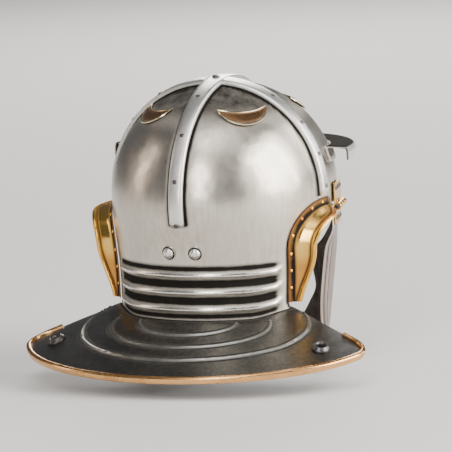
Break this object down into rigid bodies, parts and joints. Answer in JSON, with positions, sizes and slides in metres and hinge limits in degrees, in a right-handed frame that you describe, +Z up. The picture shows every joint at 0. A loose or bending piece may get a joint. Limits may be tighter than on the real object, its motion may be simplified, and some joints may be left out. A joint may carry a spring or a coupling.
{
  "type": "roman legionary helmet",
  "caption": "Cross-braced iron helmet with a ribbed nape, broad neck guard, brow peak, brass ear guards and edging, bronze crescents and hinged cheek-pieces.",
  "frame": {"origin": "middle of the opening for the head, on the level of the brow edge of the bowl", "axes": "+Z up, -Y the way the wearer faces, +X the wearer's left"},
  "size_m": [0.3192, 0.3195, 0.2609],
  "materials": {
    "skull_iron": "hand-polished iron with brush marks and warm stains",
    "brace_iron": "hand-filed iron",
    "cheek_iron": "hand-polished iron",
    "dark_iron": "dark worn iron",
    "brass": "hand-worked brass, darkened in the hollows",
    "brass_edging": "polished brass",
    "bronze": "brown bronze with a bright rim"
  },
  "bodies": {
    "shell": {"bowl": "skull_iron", "long_brace": "brace_iron", "brow_peak": "brace_iron", "guard_binding": "brass_edging", "side_brace_left": "brace_iron", "lunate_back_left": "bronze", "lunate_front_left": "bronze", "ear_guard_left": "brass", "guard_stud_left": "dark_iron", "nape_boss_left": "brace_iron", "bowl_leaf_left": "brass", "hinge_pin_left": "dark_iron", "side_brace_right": "brace_iron", "lunate_back_right": "bronze", "lunate_front_right": "bronze", "ear_guard_right": "brass", "guard_stud_right": "dark_iron", "nape_boss_right": "brace_iron", "bowl_leaf_right": "brass", "hinge_pin_right": "dark_iron"},
    "cheek_left": {"cheek_leaf_left": "brass", "cheek_plate_left": "cheek_iron"},
    "cheek_right": {"cheek_leaf_right": "brass", "cheek_plate_right": "cheek_iron"}
  },
  "joints": [
    {"name": "cheek_left_swing", "type": "hinge", "parent": "shell", "child": "cheek_left", "pos_m": [0.09766, -0.03008, -0.004], "axis": [-0.2253, -0.9743, 0], "range_deg": [-10, 110]},
    {"name": "cheek_right_swing", "type": "hinge", "parent": "shell", "child": "cheek_right", "pos_m": [-0.09766, -0.03008, -0.004], "axis": [-0.2253, 0.9743, 0], "range_deg": [-10, 110]}
  ]
}
